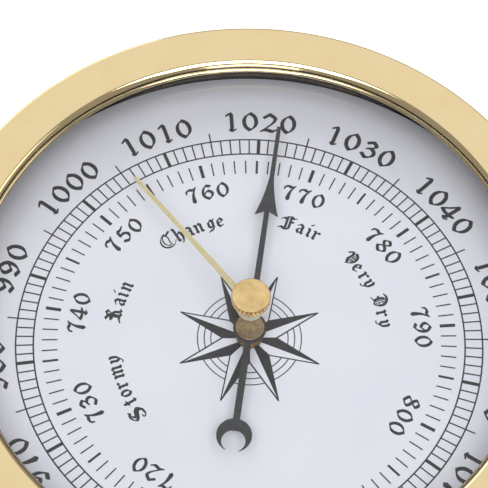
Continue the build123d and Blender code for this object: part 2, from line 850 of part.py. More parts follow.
def make_knob():
    """Turned brass knob with a coin edge, on a stem through the crystal."""
    head = disc(knob_radius, knob_bottom, knob_top - knob_rise)
    cone = Pos(0, 0, knob_top - knob_rise) * Cone(knob_radius - 0.3, 0.05, knob_rise, align=UP)
    for i in range(knob_teeth):
        turn = 2 * pi * i / knob_teeth
        x, y = knob_radius * cos(turn), knob_radius * sin(turn)
        head -= disc(knob_tooth_depth, knob_bottom - 1, knob_top + 1, x, y)
    stem = disc(stem_radius, boss_bottom - nut_height, knob_bottom)
    return head + cone + stem


def make_washer(bottom, radius):
    return tube(radius, stem_radius + 0.03, bottom, bottom + washer_thickness)


def make_set_hand():
    """Thin strip from a flat boss, sloping down to just over the scale."""
    boss = tube(set_hand_boss, stem_radius + 0.02, boss_bottom, boss_top)
    root = nut_radius + 0.05
    tip_z = dial_z + set_hand_tip_height
    half_root, half_tip = set_hand_root_width / 2, set_hand_tip_width / 2
    plan = polygon([(-half_root, root), (-half_tip, set_hand_reach),
                    (half_tip, set_hand_reach), (half_root, root)])
    side = polygon([(root, boss_bottom), (set_hand_reach, tip_z - set_hand_thickness),
                    (set_hand_reach, tip_z), (root, boss_top)])
    tall = plate(plan, 0, bezel_face_z)
    slab = extrude(Pos(-5, 0, 0) * (Plane.YZ * side), 10, dir=(1, 0, 0))
    return clock(boss + (tall & slab), set_hand_angle)


def make_nut():
    nut = tube(nut_radius, stem_radius, boss_bottom - nut_height, boss_bottom)
    return chamfer(nut.edges().group_by(Axis.Z)[0].sort_by(SortBy.RADIUS)[-1], 0.25)


# ---- pressure adjustment -------------------------------------------------
def make_adjuster():
    """Screw that lifts the main spring's foot; its slot is reached from behind."""
    low, high, half = adjuster_foot, adjuster_shoulder, adjuster_slot / 2
    head = disc(adjuster_head, low, high, adjuster_x)
    slot = block(adjuster_x - 4, adjuster_x + 4, -half, half, 0, (low + high) / 2)
    return head - slot + disc(adjuster_radius, high, plate_top - running_fit, adjuster_x)


def main():
    os.makedirs("parts", exist_ok=True)
    parts = {
        "case_pan": make_pan(),
        "hanger_plate": make_hanger(),
        "hanger_rivets": make_rivets(),
        "bezel": make_bezel(),
        "crystal": make_crystal(),
        "crystal_gasket": make_gasket(),
        "dial_plate": make_dial(),
        "dial_posts": make_dial_posts(),
        "dial_post_screws": make_dial_screws(),
        "base_plate": make_base_plate(),
        "case_posts": make_case_posts(),
        "case_screws": make_case_screws(),
        "capsule_base_stud": make_capsule_base_stud(),
        "capsule_nut": make_capsule_nut(),
        "capsule_lower": capsule_half(-1),
        "capsule_upper": capsule_half(1),
        "capsule_top_stud": make_top_stud(),
        "main_spring": make_main_spring(),
        "spring_screws": make_spring_screws(),
        "main_lever": make_lever(),
        "lever_rivets": make_lever_rivets(),
        "knife_edge_pin": make_knife_pin(),
        "link_rod": make_link_rod(),
        "rocking_shaft": make_rocking_shaft(),
        "rocker_arm": make_rocker_arm(),
        "rocker_crank": make_rocker_crank(),
        "rocker_bracket": make_bracket(),
        "bracket_screws": make_bracket_screws(),
        "sector_gear": make_sector(),
        "sector_staff": make_staff(),
        "sector_bushes": make_bushes(sector_x),
        "lower_bridge": make_bridge(lower_bridge_z),
        "upper_bridge": make_bridge(upper_bridge_z),
        "bridge_pillars": make_pillars(plate_top, lower_bridge_z),
        "bridge_spacers": make_pillars(lower_bridge_z + bridge_sheet, upper_bridge_z),
        "bridge_screws": make_bridge_screws(),
        "pillar_screws": make_pillar_screws(),
        "arbor_bushes": make_bushes(0),
        "pointer_arbor": make_arbor(),
        "pinion": make_pinion(),
        "hairspring_collet": make_collet(),
        "hairspring": make_hairspring(),
        "hairspring_stud": make_hairspring_stud(),
        "hand_bush": make_hand_bush(),
        "pressure_hand": make_pressure_hand(),
        "hand_cap": make_hand_cap(),
        "setting_knob": make_knob(),
        "knob_washer": make_washer(glass_top + washer_gap, 3.2),
        "friction_washer": make_washer(boss_top, 2.9),
        "set_hand": make_set_hand(),
        "set_hand_nut": make_nut(),
        "adjusting_screw": make_adjuster(),
    }
    for name, shape in parts.items():
        save(shape, name)


main()
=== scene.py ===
from math import asin, atan2, cos, pi, radians, sin, sqrt

import bmesh
import bpy
from mathutils import Matrix, Vector
from mathutils.geometry import delaunay_2d_cdt


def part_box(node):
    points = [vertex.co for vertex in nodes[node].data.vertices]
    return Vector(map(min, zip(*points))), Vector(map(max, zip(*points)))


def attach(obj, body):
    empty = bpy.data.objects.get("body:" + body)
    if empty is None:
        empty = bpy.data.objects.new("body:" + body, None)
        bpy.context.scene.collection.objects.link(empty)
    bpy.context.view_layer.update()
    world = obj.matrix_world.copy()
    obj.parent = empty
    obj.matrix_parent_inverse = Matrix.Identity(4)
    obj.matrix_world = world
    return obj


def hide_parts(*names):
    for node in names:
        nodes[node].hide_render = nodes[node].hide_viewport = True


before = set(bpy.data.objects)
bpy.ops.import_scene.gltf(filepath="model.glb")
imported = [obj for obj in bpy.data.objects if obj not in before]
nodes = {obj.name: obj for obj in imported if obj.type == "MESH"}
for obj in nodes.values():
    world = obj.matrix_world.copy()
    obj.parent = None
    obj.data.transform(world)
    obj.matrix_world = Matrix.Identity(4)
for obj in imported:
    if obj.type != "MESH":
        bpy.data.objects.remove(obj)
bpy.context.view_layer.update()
scene = bpy.context.scene

MM = 0.001
dial_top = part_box("dial_plate")[1].z / MM
ring = 48.44                  # radius of the pressure scale's outer circle, mm
ink_foot = 0.002              # the print stands from here to ink_height above the dial, mm
ink_height = 0.03

# the bezel and crystal, mm, as the CAD has them
opening = 56.6                # radius of the bezel's inner wall
hem = 41.9                    # underside of the bezel's inner wall
glass_rise = 2.3
glass_thickness = 2.0
stem_hole = 1.58


# ---------------------------------------------------------------- finishes

def blend(tree, factor, dark, light):
    """A colour that runs from dark to light with factor."""
    mix = tree.nodes.new("ShaderNodeMix")
    mix.data_type = "RGBA"
    tree.links.new(factor, mix.inputs["Factor"])
    mix.inputs["A"].default_value = (*dark, 1)
    mix.inputs["B"].default_value = (*light, 1)
    return mix.outputs["Result"]


class Finish:
    """One material on a Principled shader, with textures measured in millimetres."""

    def __init__(self, name, colour, metallic=0.0, roughness=0.4):
        self.material = bpy.data.materials.new(name)
        self.material.use_nodes = True
        self.tree = self.material.node_tree
        self.shader = self.tree.nodes["Principled BSDF"]
        self.shader.inputs["Base Color"].default_value = (*colour, 1)
        self.shader.inputs["Metallic"].default_value = metallic
        self.shader.inputs["Roughness"].default_value = roughness
        coords = self.tree.nodes.new("ShaderNodeTexCoord")
        self.place = self.math_vector("MULTIPLY", coords.outputs["Object"], (1000, 1000, 1000))

    def math_vector(self, operation, socket, value):
        node = self.tree.nodes.new("ShaderNodeVectorMath")
        node.operation = operation
        self.tree.links.new(socket, node.inputs[0])
        node.inputs[1].default_value = value
        return node.outputs["Vector"]

    def math(self, operation, socket, other=0.0):
        node = self.tree.nodes.new("ShaderNodeMath")
        node.operation = operation
        self.tree.links.new(socket, node.inputs[0])
        if isinstance(other, float):
            node.inputs[1].default_value = other
        else:
            self.tree.links.new(other, node.inputs[1])
        return node.outputs[0]

    def around_axis(self, across, along):
        """Coordinates that run round the z axis, so that a noise on them lies in turned rings."""
        apart = self.tree.nodes.new("ShaderNodeSeparateXYZ")
        self.tree.links.new(self.place, apart.inputs[0])
        x, y, z = apart.outputs
        out = self.math("SQRT", self.math("ADD", self.math("MULTIPLY", x, x), self.math("MULTIPLY", y, y)))
        join = self.tree.nodes.new("ShaderNodeCombineXYZ")
        self.tree.links.new(self.math("MULTIPLY", out, float(across)), join.inputs[0])
        self.tree.links.new(self.math("MULTIPLY", z, float(across)), join.inputs[1])
        self.tree.links.new(self.math("MULTIPLY", self.math("ADD", x, y), float(along)), join.inputs[2])
        return join.outputs[0]

    def noise(self, size, detail=3.0, where=None, stretch=(1, 1, 1)):
        """Noise whose features are about size mm across."""
        node = self.tree.nodes.new("ShaderNodeTexNoise")
        source = self.place if where is None else where
        if stretch != (1, 1, 1):
            source = self.math_vector("MULTIPLY", source, stretch)
        self.tree.links.new(source, node.inputs["Vector"])
        node.inputs["Scale"].default_value = 1 / size
        node.inputs["Detail"].default_value = detail
        return node.outputs["Fac"]

    def ramp(self, factor, low, high, start=0.35, end=0.65):
        node = self.tree.nodes.new("ShaderNodeMapRange")
        self.tree.links.new(factor, node.inputs["Value"])
        node.inputs["From Min"].default_value = start
        node.inputs["From Max"].default_value = end
        node.inputs["To Min"].default_value = low
        node.inputs["To Max"].default_value = high
        return node.outputs["Result"]

    def colour(self, factor, dark, light):
        mixed = blend(self.tree, self.ramp(factor, 0, 1), dark, light)
        self.tree.links.new(mixed, self.shader.inputs["Base Color"])
        return self

    def rough(self, factor, low, high):
        self.tree.links.new(self.ramp(factor, low, high), self.shader.inputs["Roughness"])
        return self

    def bump(self, *layers):
        """Each layer is (noise, height in mm)."""
        normal = None
        for factor, height in layers:
            node = self.tree.nodes.new("ShaderNodeBump")
            node.inputs["Distance"].default_value = height * MM
            self.tree.links.new(factor, node.inputs["Height"])
            if normal is not None:
                self.tree.links.new(normal, node.inputs["Normal"])
            normal = node.outputs["Normal"]
        self.tree.links.new(normal, self.shader.inputs["Normal"])
        return self

    def turned(self, amount):
        """Highlights spread across the turning marks, which run round the z axis."""
        tangent = self.tree.nodes.new("ShaderNodeTangent")
        tangent.direction_type = "RADIAL"
        tangent.axis = "Z"
        self.tree.links.new(tangent.outputs[0], self.shader.inputs["Tangent"])
        self.shader.inputs["Anisotropic"].default_value = amount
        return self


def make_polished_brass():
    f = Finish("polished_brass", (0.78, 0.62, 0.35), 1.0, 0.09)
    marks = f.noise(0.5, 4.0, f.around_axis(4, 0.02))
    f.colour(f.noise(9), (0.765, 0.605, 0.335), (0.79, 0.635, 0.37))
    f.rough(f.noise(6, 5.0), 0.06, 0.12)
    return f.bump((marks, 0.0015), (f.noise(14, 1.0), 0.01))


def make_turned_brass():
    f = Finish("turned_brass", (0.70, 0.50, 0.24), 1.0, 0.25)
    marks = f.noise(0.12, 4.0, f.around_axis(1, 0.0))
    f.colour(f.noise(1.5), (0.64, 0.45, 0.2), (0.74, 0.54, 0.27))
    f.rough(marks, 0.2, 0.32)
    return f.bump((marks, 0.006)).turned(0.75)


# Brass darkened as painted shade: the dark base colour stands in for the shade and dark reflection under the
# knob and set hand, where the hand cap and bush sit.
def make_dull_brass():
    f = Finish("shaded_brass", (0.30, 0.22, 0.13), 1.0, 0.36)
    marks = f.noise(0.15, 4.0, f.around_axis(1, 0.0))
    f.colour(f.noise(0.9, 4.0), (0.24, 0.17, 0.10), (0.38, 0.28, 0.17))
    f.rough(marks, 0.28, 0.44)
    return f.bump((marks, 0.004)).turned(0.5)


def make_brass_strip():
    f = Finish("brass_strip", (0.92, 0.80, 0.47), 1.0, 0.48)
    f.colour(f.noise(2.5), (0.89, 0.77, 0.43), (0.95, 0.84, 0.52))
    f.rough(f.noise(0.8), 0.42, 0.54)
    return f.bump((f.noise(0.2, 3.0, None, (1, 0.06, 1)), 0.003))


def make_movement_brass():
    f = Finish("movement_brass", (0.62, 0.42, 0.17), 1.0, 0.3)
    f.colour(f.noise(7, 5.0), (0.53, 0.35, 0.13), (0.68, 0.47, 0.2))
    f.rough(f.noise(3, 5.0), 0.22, 0.42)
    return f.bump((f.noise(0.25, 3.0, None, (0.05, 1, 1)), 0.004))


def make_steel():
    f = Finish("steel", (0.45, 0.45, 0.46), 1.0, 0.3)
    f.colour(f.noise(4, 5.0), (0.38, 0.38, 0.39), (0.52, 0.52, 0.53))
    f.rough(f.noise(2, 5.0), 0.24, 0.42)
    return f.bump((f.noise(0.2, 3.0, None, (1, 0.08, 1)), 0.004))


def make_spring_steel():
    f = Finish("spring_steel", (0.13, 0.17, 0.28), 1.0, 0.25)
    f.colour(f.noise(5), (0.10, 0.13, 0.24), (0.2, 0.22, 0.3))
    f.rough(f.noise(2), 0.2, 0.36)
    return f.bump((f.noise(0.2, 3.0, None, (0.08, 1, 1)), 0.003))


def make_black_paint():
    f = Finish("black_paint", (0.018, 0.018, 0.02), 0.0, 0.36)
    f.colour(f.noise(12, 4.0), (0.014, 0.014, 0.016), (0.025, 0.025, 0.028))
    f.rough(f.noise(4, 4.0), 0.3, 0.46)
    return f.bump((f.noise(1.1, 2.0), 0.012), (f.noise(0.25, 2.0), 0.003))


def make_black_hand():
    f = Finish("black_hand", (0.022, 0.022, 0.025), 0.0, 0.5)
    f.colour(f.noise(2), (0.018, 0.018, 0.021), (0.027, 0.027, 0.031))
    f.rough(f.noise(0.7), 0.42, 0.58)
    return f.bump((f.noise(0.3), 0.004))


def make_dial_white():
    f = Finish("dial_white", (0.74, 0.735, 0.82), 0.0, 0.42)
    f.colour(f.noise(22, 4.0), (0.725, 0.725, 0.812), (0.755, 0.75, 0.832))
    f.rough(f.noise(1.2, 4.0), 0.38, 0.48)
    return f.bump((f.noise(0.9, 3.0), 0.003))


def make_rubber():
    f = Finish("rubber", (0.02, 0.02, 0.022), 0.0, 0.7)
    f.colour(f.noise(3), (0.016, 0.016, 0.018), (0.028, 0.028, 0.03))
    f.rough(f.noise(1), 0.6, 0.8)
    return f.bump((f.noise(0.3), 0.01))


def make_white_nylon():
    f = Finish("white_nylon", (0.8, 0.8, 0.79), 0.0, 0.4)
    f.shader.inputs["Subsurface Weight"].default_value = 0.1
    f.shader.inputs["Subsurface Scale"].default_value = 0.0005
    f.colour(f.noise(1.5), (0.77, 0.77, 0.76), (0.83, 0.83, 0.82))
    f.rough(f.noise(0.6), 0.34, 0.48)
    return f.bump((f.noise(0.2), 0.004))


def make_capsule_metal():
    f = Finish("capsule_metal", (0.55, 0.53, 0.47), 1.0, 0.3)
    f.colour(f.noise(5, 5.0), (0.48, 0.46, 0.4), (0.6, 0.58, 0.52))
    f.rough(f.noise(2, 5.0), 0.24, 0.4)
    return f.bump((f.noise(0.3, 3.0), 0.005))


def make_ink():
    f = Finish("dial_ink", (0.03, 0.03, 0.035), 0.0, 0.45)
    f.colour(f.noise(1.2, 4.0), (0.008, 0.008, 0.011), (0.016, 0.016, 0.020))
    f.rough(f.noise(0.5), 0.4, 0.55)
    return f.bump((f.noise(0.15), 0.003))


def make_glass():
    """Clear crystal: what is behind shows through, and the surface mirrors by Fresnel's law."""
    material = bpy.data.materials.new("glass")
    material.use_nodes = True
    tree = material.node_tree
    tree.nodes.remove(tree.nodes["Principled BSDF"])
    clear = tree.nodes.new("ShaderNodeBsdfTransparent")
    clear.inputs["Color"].default_value = (0.985, 0.99, 0.985, 1)
    shine = tree.nodes.new("ShaderNodeBsdfGlossy")
    shine.inputs["Roughness"].default_value = 0.03
    fresnel = tree.nodes.new("ShaderNodeFresnel")
    fresnel.inputs["IOR"].default_value = 1.3
    mix = tree.nodes.new("ShaderNodeMixShader")
    tree.links.new(fresnel.outputs[0], mix.inputs[0])
    tree.links.new(clear.outputs[0], mix.inputs[1])
    tree.links.new(shine.outputs[0], mix.inputs[2])
    tree.links.new(mix.outputs[0], tree.nodes["Material Output"].inputs["Surface"])
    return material


finishes = {
    "polished_brass": make_polished_brass().material,
    "turned_brass": make_turned_brass().material,
    "shaded_brass": make_dull_brass().material,
    "brass_strip": make_brass_strip().material,
    "movement_brass": make_movement_brass().material,
    "steel": make_steel().material,
    "spring_steel": make_spring_steel().material,
    "black_paint": make_black_paint().material,
    "black_hand": make_black_hand().material,
    "dial_white": make_dial_white().material,
    "rubber": make_rubber().material,
    "white_nylon": make_white_nylon().material,
    "capsule_metal": make_capsule_metal().material,
    "glass": make_glass(),
    "ink": make_ink().material,
}

for node in nodes.values():
    for place, old in enumerate(node.data.materials):
        node.data.materials[place] = finishes[old.name.split(".")[0]]

# The hand cap and bush get the darkened brass, whose colour is painted shade for their place under the knob.
for name in ("hand_cap", "hand_bush"):
    nodes[name].data.materials[0] = finishes["shaded_brass"]


# ---------------------------------------------------------------- pieces

def add_piece(name, points, faces, finish, body, slot=None, stands_for=(), crease=30):
    """A mesh piece from points in mm, riding on body."""
    mesh = bpy.data.meshes.new(name)
    mesh.from_pydata([Vector(p) * MM for p in points], [], faces)
    shape = bmesh.new()
    shape.from_mesh(mesh)
    bmesh.ops.recalc_face_normals(shape, faces=shape.faces)
    shape.to_mesh(mesh)
    shape.free()
    mesh.shade_smooth()
    mesh.set_sharp_from_angle(angle=radians(crease))
    mesh.materials.append(finishes[finish])
    piece = bpy.data.objects.new(name, mesh)
    scene.collection.objects.link(piece)
    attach(piece, body)
    if stands_for:
        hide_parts(*stands_for)
    return piece


def arc(x, z, radius, start, end, count=8):
    """Points (r, z) on a circle about (x, z), angles in degrees."""
    turns = [radians(start + (end - start) * i / count) for i in range(count + 1)]
    return [(x + radius * cos(t), z + radius * sin(t)) for t in turns]


def lathe(profile, steps=288, edge=None):
    """Turns a closed loop of (r, z) about the z axis. edge(angle, r, z) can change a point's radius."""
    points, faces, rows = [], [], []
    for r, z in profile:
        if r < 1e-6:
            rows.append([len(points)])
            points.append((0, 0, z))
            continue
        rows.append(range(len(points), len(points) + steps))
        for i in range(steps):
            turn = 2 * pi * i / steps
            out = edge(turn, r, z) if edge else r
            points.append((out * cos(turn), out * sin(turn), z))
    for a, b in zip(rows, rows[1:] + rows[:1]):
        for i in range(steps):
            j = (i + 1) % steps
            face = [a[i % len(a)], a[j % len(a)], b[j % len(b)], b[i % len(b)]]
            face = list(dict.fromkeys(face))
            if len(face) > 2:
                faces.append(face)
    return points, faces


def bezel_shell():
    """The spun bezel: skirt, flat face, rolled lip, inner wall and the hem at its foot."""
    low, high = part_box("bezel")
    radius, top, foot = high.x / MM, high.z / MM, low.z / MM
    wall, lip, corner, bead, fall = 0.8, 1.7, 0.6, 0.3, 0.35
    inside = top - fall
    middle = hem + 1.5 * bead
    ball = ((1.5 * bead) ** 2 + bead**2) / (2 * bead)
    spread = asin(1.5 * bead / ball) * 180 / pi
    profile = [(radius, foot)]
    profile += arc(radius - corner, top - corner, corner, 0, 90)
    profile += arc(opening + lip, inside - lip, lip, 90, 180, 18)
    profile += arc(opening - bead + ball, middle, ball, 180 - spread, 180 + spread, 10)
    profile += [(opening + wall, hem), (opening + wall, inside - lip), (opening + wall + lip, inside - wall)]
    profile += [(radius - wall, top - wall), (radius - wall, foot)]
    add_piece("bezel_shell", *lathe(profile, 360), "polished_brass", "case", "polished_brass", ["bezel"], 25)


def crystal_glass():
    """The domed crystal with its flat rim and its hole for the knob's stem."""
    low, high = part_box("crystal")
    edge, top, under = high.y / MM, high.z / MM, low.z / MM
    ball = (opening**2 + glass_rise**2) / (2 * glass_rise)
    steps = 24
    places = [stem_hole] + [opening * i / steps for i in range(1, steps + 1)]
    upper = [(x, top - ball + sqrt(ball**2 - x**2)) for x in places]
    lower = [(x, z - glass_thickness) for x, z in reversed(upper)]
    profile = upper + [(edge, top - glass_rise), (edge, under)] + lower
    add_piece("crystal_glass", *lathe(profile, 192), "glass", "case", "glass", ["crystal"], 20)


def knob_head():
    """The coin-edged knob, its turned top and its stem."""
    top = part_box("setting_knob")[1].z / MM
    radius, rise, groove, teeth = 3.95, 0.12, 0.4, 28
    bottom, stem_end, stem = 44.45, 40.25, 1.5

    def edge(turn, r, z):
        if r < radius - 0.1:
            return r
        return r - groove * max(0.0, cos(turn * teeth)) ** 1.5

    flat = top - rise
    profile = [(stem, stem_end), (stem, bottom), (radius - 0.15, bottom), (radius, bottom + 0.12)]
    profile += [(radius, flat - 0.12), (radius - 0.15, flat), (radius - 0.3, flat)]
    profile += [(2.3, flat + rise * 0.4), (1.2, flat + rise * 0.75), (0.0, top), (0.0, stem_end)]
    points, faces = lathe(profile, 16 * teeth, edge)
    add_piece("knob_head", points, faces, "turned_brass", "setting", "turned_brass", ["setting_knob"], 35)


# ---------------------------------------------------------------- the dial's print

def hull(points):
    """The convex outline round some points in a plane."""
    points = sorted(set((round(x, 6), round(y, 6)) for x, y in points))
    sides = []
    for run in (points, points[::-1]):
        side = []
        for p in run:
            while len(side) > 1:
                (ax, ay), (bx, by) = side[-2], side[-1]
                if (bx - ax) * (p[1] - ay) - (by - ay) * (p[0] - ax) > 1e-9:
                    break
                side.pop()
            side.append(p)
        sides += side[:-1]
    return sides


def turn_of(patch):
    """Twice the area of a patch, positive if its corners run anticlockwise."""
    return sum(ax * by - bx * ay for (ax, ay), (bx, by) in zip(patch, patch[1:] + patch[:1]))


def flow(points, count=7):
    """A smooth line through some points."""
    if len(points) < 3:
        return points
    ends = [points[0]] + list(points) + [points[-1]]
    line = []
    for a, b, c, d in zip(ends, ends[1:], ends[2:], ends[3:]):
        for i in range(count):
            t = i / count
            line.append(tuple(
                0.5 * (2 * q + (r - p) * t + (2 * p - 5 * q + 4 * r - s) * t**2
                       + (3 * q - p - 3 * r + s) * t**3)
                for p, q, r, s in zip(a, b, c, d)
            ))
    return line + [points[-1]]


def nib(wide, thin, slant):
    """The corners of a broad pen held at slant degrees."""
    c, s = cos(radians(slant)) / 2, sin(radians(slant)) / 2
    return [(i * wide * c - j * thin * s, i * wide * s + j * thin * c) for i in (-1, 1) for j in (-1, 1)]


def stroke(points, pen, start=1.0, end=1.0):
    """The convex patches that a pen covers along a line, its size running from start to end."""
    line = flow(points)
    stamps = []
    for i, (x, y) in enumerate(line):
        size = start + (end - start) * i / (len(line) - 1)
        stamps.append([(x + u * size, y + v * size) for u, v in pen])
    return [hull(a + b) for a, b in zip(stamps, stamps[1:])]


def print_layer(name, patches):
    """Prints groups of flat patches on the dial as one thin layer without overlaps."""
    points, faces = [], []
    for group in patches:
        corners, rings = [], []
        for patch in group:
            if turn_of(patch) < 0:
                patch = patch[::-1]
            rings.append(list(range(len(corners), len(corners) + len(patch))))
            corners += [Vector(p) for p in patch]
        flat, _, cells, _, _, sources = delaunay_2d_cdt(corners, [], rings, 0, 1e-5)
        cells = [cell for cell, source in zip(cells, sources) if source]
        base, count = len(points), len(flat)
        points += [(p.x, p.y, dial_top + ink_height) for p in flat]
        points += [(p.x, p.y, dial_top + ink_foot) for p in flat]
        edges = {}
        for a, b, c in cells:
            faces.append((base + a, base + b, base + c))
            faces.append((base + count + c, base + count + b, base + count + a))
            for e in ((a, b), (b, c), (c, a)):
                edges[e] = edges.get(e, 0) + 1
        for a, b in edges:
            if (b, a) not in edges:
                faces.append((base + b, base + a, base + count + a, base + count + b))
    used = sorted(set(i for f in faces for i in f))
    order = {old: new for new, old in enumerate(used)}
    faces = [[order[i] for i in f] for f in faces]
    add_piece(name, [points[i] for i in used], faces, "ink", "case", "black_paint", crease=20)


def on_dial(radius, degrees):
    """A point on the dial, by its radius and its clockwise angle from 12 o'clock."""
    turn = radians(degrees)
    return radius * sin(turn), radius * cos(turn)


def mark(degrees, inner, outer, width):
    """A radial line of the scale."""
    x, y = on_dial(1, degrees)
    h = width / 2
    return [(x * r + y * s, y * r - x * s) for r, s in ((inner, -h), (outer, -h), (outer, h), (inner, h))]


def circle(radius, width, start=0.0, end=360.0, step=1.25):
    """A thin ring, or part of one, as four-cornered patches."""
    count = max(1, round((end - start) / step))
    turns = [start + (end - start) * i / count for i in range(count + 1)]
    patches = []
    for a, b in zip(turns, turns[1:]):
        patches.append([on_dial(radius + s, t) for s, t in
                        ((-width / 2, a), (width / 2, a), (width / 2, b), (-width / 2, b))])
    return patches


# A character is a list of pen strokes. Points are in heights of the character, x from its middle. A stroke
# is drawn with the broad pen unless it names BAR or HAIR; two numbers are the pen's size at its two ends.
PEN, BAR, HAIR = "pen", "bar", "hair"

DIGITS = {
    "0": [((0.0, 0.925), (-0.19, 0.77), (-0.262, 0.52), (-0.19, 0.24), (0.0, 0.075)),
          ((0.0, 0.925), (0.19, 0.76), (0.262, 0.48), (0.19, 0.23), (0.0, 0.075))],
    "1": [((-0.17, 0.86), (-0.02, 0.935)),
          ((0.0, 0.90), (0.03, 0.80), (0.02, 0.14)),
          ((-0.05, 0.13), (0.04, 0.06)),
          (HAIR, (0.05, 0.04), (0.17, 0.12))],
    "2": [(BAR, (-0.24, 0.72), (-0.01, 0.90)),
          ((-0.02, 0.92), (0.22, 0.76), (0.25, 0.66), (0.16, 0.48), (-0.08, 0.24), (-0.30, 0.05)),
          ((-0.28, 0.07), (-0.12, 0.12), (0.06, 0.08), (0.19, 0.06), (0.32, 0.14))],
    "3": [(BAR, (-0.22, 0.76), (-0.01, 0.91)),
          ((-0.02, 0.92), (0.17, 0.80), (0.16, 0.70), (0.02, 0.58), (-0.12, 0.52)),
          ((0.03, 0.58), (0.20, 0.47), (0.24, 0.30), (0.12, 0.14), (-0.05, 0.06)),
          ((-0.04, 0.06), (-0.26, 0.20))],
    "4": [(HAIR, (0.05, 0.93), (-0.15, 0.60), (-0.36, 0.34)),
          ((-0.36, 0.33), (-0.12, 0.28), (0.27, 0.35)),
          ((0.05, 0.90), (0.08, 0.80), (0.06, 0.14)),
          ((-0.03, 0.13), (0.07, 0.06)),
          (HAIR, (0.08, 0.04), (0.19, 0.12))],
    "5": [((-0.15, 0.86), (-0.18, 0.56)),
          ((-0.15, 0.87), (0.04, 0.84), (0.24, 0.92)),
          ((-0.18, 0.56), (0.03, 0.58), (0.20, 0.46), (0.23, 0.30), (0.12, 0.14), (-0.03, 0.06)),
          ((-0.02, 0.06), (-0.25, 0.19))],
    "6": [((-0.02, 0.925), (0.20, 0.84)),
          ((0.0, 0.925), (-0.19, 0.72), (-0.26, 0.44), (-0.18, 0.22), (0.03, 0.075)),
          ((-0.20, 0.38), (-0.06, 0.53), (0.05, 0.58)),
          ((0.04, 0.585), (0.22, 0.46), (0.24, 0.32), (0.17, 0.18), (0.03, 0.075))],
    "7": [(HAIR, (-0.30, 0.68), (-0.25, 0.83)),
          ((-0.26, 0.84), (-0.06, 0.90), (0.08, 0.84), (0.26, 0.92)),
          (HAIR, 0.7, 2.6, (0.26, 0.92), (0.08, 0.62), (0.01, 0.34), (-0.01, 0.09))],
    "8": [((0.0, 0.53), (-0.17, 0.67), (-0.17, 0.80), (0.0, 0.93)),
          ((0.0, 0.93), (0.17, 0.83), (0.18, 0.72), (0.0, 0.53)),
          ((0.0, 0.53), (-0.22, 0.36), (-0.23, 0.24), (0.0, 0.07)),
          ((0.0, 0.53), (0.22, 0.38), (0.22, 0.22), (0.0, 0.07))],
    "9": [((0.0, 0.925), (0.19, 0.78), (0.26, 0.56), (0.19, 0.28), (0.0, 0.075)),
          ((0.01, 0.075), (-0.22, 0.17)),
          ((0.0, 0.925), (-0.17, 0.80), (-0.23, 0.66), (-0.19, 0.54), (-0.04, 0.42)),
          ((-0.04, 0.42), (0.07, 0.47), (0.20, 0.62))],
}

